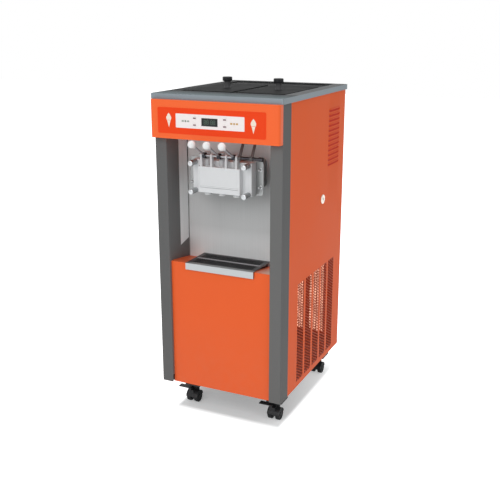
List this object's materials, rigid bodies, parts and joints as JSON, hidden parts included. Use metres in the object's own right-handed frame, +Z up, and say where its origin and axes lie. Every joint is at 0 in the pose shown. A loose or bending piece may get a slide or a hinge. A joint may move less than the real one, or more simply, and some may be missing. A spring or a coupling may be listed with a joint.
{
  "type": "soft-serve ice cream maker",
  "caption": "Floor-standing soft-serve ice cream maker: orange cabinet on castors with grey corner posts, lever-operated dispensing head, drip tray, lidded hoppers and a vented side.",
  "frame": {"origin": "on the floor, at the middle of the overall footprint", "axes": "+Z up, -Y towards the serving side, +X to the right of someone facing the machine"},
  "size_m": [0.554, 0.8004, 1.3992],
  "materials": {
    "orange_paint": "satin orange powder coat",
    "grey_paint": "satin dark grey powder coat",
    "frame_steel": "zinc-plated sheet and angle",
    "stainless": "brushed stainless",
    "aluminium": "bare fins",
    "white_plastic": "white",
    "head_plastic": "light grey, satin",
    "black_plastic": "black",
    "label_film": "printed film, red-orange",
    "display_film": "smoked window",
    "key_film": "light grey",
    "board": "green circuit board",
    "seal": "food-grade rubber",
    "foam": "foamed insulation",
    "tread": "black"
  },
  "bodies": {
    "cabinet": {"chassis": "frame_steel", "fan_shroud": "frame_steel", "front_posts": "grey_paint", "side_panel_left": "orange_paint", "side_panel_right": "orange_paint", "rear_panel": "orange_paint", "front_panel": "orange_paint", "bay_floor": "orange_paint", "header_cover": "orange_paint", "cord_gland": "black_plastic", "control_box": "black_plastic", "splash_panel": "stainless", "top_deck": "stainless", "hoppers": "stainless", "head_flange": "stainless", "handscrews": "stainless", "pivot_pin": "stainless", "freezing_cylinders": "stainless", "control_fascia": "label_film", "display_lenses": "display_film", "control_board": "board", "dispensing_block": "head_plastic", "head_seals": "seal", "star_nozzles": "white_plastic", "cylinder_jacket": "foam", "gear_motors": "grey_paint", "compressor": "grey_paint", "condenser": "aluminium"},
    "key_1": {"control_key_1": "key_film"},
    "key_2": {"control_key_2": "key_film"},
    "key_3": {"control_key_3": "key_film"},
    "key_4": {"control_key_4": "key_film"},
    "lid_left": {"hopper_lid_left": "black_plastic"},
    "lid_right": {"hopper_lid_right": "black_plastic"},
    "tray": {"drip_tray": "stainless"},
    "grate": {"tray_grate": "black_plastic"},
    "lever_left": {"draw_lever_left": "stainless", "lever_ball_left": "white_plastic"},
    "plunger_left": {"valve_plunger_left": "white_plastic"},
    "lever_centre": {"draw_lever_centre": "stainless", "lever_ball_centre": "white_plastic"},
    "plunger_centre": {"valve_plunger_centre": "white_plastic"},
    "lever_right": {"draw_lever_right": "stainless", "lever_ball_right": "white_plastic"},
    "plunger_right": {"valve_plunger_right": "white_plastic"},
    "bail": {"switch_bail": "stainless"},
    "beater_left": {"beater_left": "stainless"},
    "beater_right": {"beater_right": "stainless"},
    "fan": {"condenser_fan": "black_plastic"},
    "lock": {"side_lock": "stainless"},
    "castor_front_left": {"castor_fork_front_left": "black_plastic"},
    "wheels_front_left": {"castor_wheels_front_left": "tread"},
    "pedal_front_left": {"brake_pedal_front_left": "black_plastic"},
    "castor_front_right": {"castor_fork_front_right": "black_plastic"},
    "wheels_front_right": {"castor_wheels_front_right": "tread"},
    "pedal_front_right": {"brake_pedal_front_right": "black_plastic"},
    "castor_rear_left": {"castor_fork_rear_left": "black_plastic"},
    "wheels_rear_left": {"castor_wheels_rear_left": "tread"},
    "castor_rear_right": {"castor_fork_rear_right": "black_plastic"},
    "wheels_rear_right": {"castor_wheels_rear_right": "tread"}
  },
  "joints": [
    {"name": "key_1_press", "type": "slide", "parent": "cabinet", "child": "key_1", "axis": [0, 1, 0], "range_m": [0, 0.0006], "stiffness_N_per_m": 200},
    {"name": "key_2_press", "type": "slide", "parent": "cabinet", "child": "key_2", "axis": [0, 1, 0], "range_m": [0, 0.0006], "stiffness_N_per_m": 200},
    {"name": "key_3_press", "type": "slide", "parent": "cabinet", "child": "key_3", "axis": [0, 1, 0], "range_m": [0, 0.0006], "stiffness_N_per_m": 200},
    {"name": "key_4_press", "type": "slide", "parent": "cabinet", "child": "key_4", "axis": [0, 1, 0], "range_m": [0, 0.0006], "stiffness_N_per_m": 200},
    {"name": "lid_left_lift", "type": "slide", "parent": "cabinet", "child": "lid_left", "axis": [0, 0, 1], "range_m": [0, 0.06]},
    {"name": "lid_right_lift", "type": "slide", "parent": "cabinet", "child": "lid_right", "axis": [0, 0, 1], "range_m": [0, 0.06]},
    {"name": "tray_lift", "type": "slide", "parent": "cabinet", "child": "tray", "axis": [0, 0, 1], "range_m": [0, 0.045]},
    {"name": "grate_lift", "type": "slide", "parent": "tray", "child": "grate", "axis": [0, 0, 1], "range_m": [0, 0.03]},
    {"name": "lever_left_pull", "type": "hinge", "parent": "cabinet", "child": "lever_left", "pos_m": [-0.063, -0.28375, 1.12], "axis": [1, 0, 0], "range_deg": [0, 40]},
    {"name": "plunger_left_rise", "type": "slide", "parent": "cabinet", "child": "plunger_left", "axis": [0, 0, 1], "range_m": [0, 0.0165]},
    {"name": "lever_centre_pull", "type": "hinge", "parent": "cabinet", "child": "lever_centre", "pos_m": [0, -0.28375, 1.12], "axis": [1, 0, 0], "range_deg": [0, 40]},
    {"name": "plunger_centre_rise", "type": "slide", "parent": "cabinet", "child": "plunger_centre", "axis": [0, 0, 1], "range_m": [0, 0.0165]},
    {"name": "lever_right_pull", "type": "hinge", "parent": "cabinet", "child": "lever_right", "pos_m": [0.063, -0.28375, 1.12], "axis": [1, 0, 0], "range_deg": [0, 40]},
    {"name": "plunger_right_rise", "type": "slide", "parent": "cabinet", "child": "plunger_right", "axis": [0, 0, 1], "range_m": [0, 0.0165]},
    {"name": "bail_swing", "type": "hinge", "parent": "cabinet", "child": "bail", "pos_m": [0.111, -0.28375, 1.12], "axis": [1, 0, 0], "range_deg": [0, 12]},
    {"name": "beater_left_turn", "type": "hinge", "parent": "cabinet", "child": "beater_left", "pos_m": [-0.072, 0, 1.04], "axis": [0, 1, 0], "continuous": true},
    {"name": "beater_right_turn", "type": "hinge", "parent": "cabinet", "child": "beater_right", "pos_m": [0.072, 0, 1.04], "axis": [0, 1, 0], "continuous": true},
    {"name": "fan_turn", "type": "hinge", "parent": "cabinet", "child": "fan", "pos_m": [-0.1845, 0.08325, 0.3635], "axis": [1, 0, 0], "continuous": true},
    {"name": "lock_turn", "type": "hinge", "parent": "cabinet", "child": "lock", "pos_m": [0.27, 0.13725, 0.893], "axis": [1, 0, 0], "range_deg": [0, 90]},
    {"name": "castor_front_left_swivel", "type": "hinge", "parent": "cabinet", "child": "castor_front_left", "pos_m": [-0.194, -0.15175, 0.078], "axis": [0, 0, 1], "continuous": true},
    {"name": "wheels_front_left_roll", "type": "hinge", "parent": "castor_front_left", "child": "wheels_front_left", "pos_m": [-0.194, -0.16975, 0.025], "axis": [1, 0, 0], "continuous": true},
    {"name": "pedal_front_left_press", "type": "hinge", "parent": "castor_front_left", "child": "pedal_front_left", "pos_m": [-0.206, -0.17675, 0.062], "axis": [0, -1, 0], "range_deg": [0, 8]},
    {"name": "castor_front_right_swivel", "type": "hinge", "parent": "cabinet", "child": "castor_front_right", "pos_m": [0.194, -0.15175, 0.078], "axis": [0, 0, 1], "continuous": true},
    {"name": "wheels_front_right_roll", "type": "hinge", "parent": "castor_front_right", "child": "wheels_front_right", "pos_m": [0.194, -0.16975, 0.025], "axis": [1, 0, 0], "continuous": true},
    {"name": "pedal_front_right_press", "type": "hinge", "parent": "castor_front_right", "child": "pedal_front_right", "pos_m": [0.182, -0.17675, 0.062], "axis": [0, -1, 0], "range_deg": [0, 8]},
    {"name": "castor_rear_left_swivel", "type": "hinge", "parent": "cabinet", "child": "castor_rear_left", "pos_m": [-0.194, 0.35425, 0.078], "axis": [0, 0, 1], "continuous": true},
    {"name": "wheels_rear_left_roll", "type": "hinge", "parent": "castor_rear_left", "child": "wheels_rear_left", "pos_m": [-0.194, 0.33625, 0.025], "axis": [1, 0, 0], "continuous": true},
    {"name": "castor_rear_right_swivel", "type": "hinge", "parent": "cabinet", "child": "castor_rear_right", "pos_m": [0.194, 0.35425, 0.078], "axis": [0, 0, 1], "continuous": true},
    {"name": "wheels_rear_right_roll", "type": "hinge", "parent": "castor_rear_right", "child": "wheels_rear_right", "pos_m": [0.194, 0.33625, 0.025], "axis": [1, 0, 0], "continuous": true}
  ],
  "couplings": [
    {"joint": "plunger_left_rise", "follows": "lever_left_pull", "m_per_rad": 0.02343},
    {"joint": "plunger_centre_rise", "follows": "lever_centre_pull", "m_per_rad": 0.02343},
    {"joint": "plunger_right_rise", "follows": "lever_right_pull", "m_per_rad": 0.02343}
  ]
}
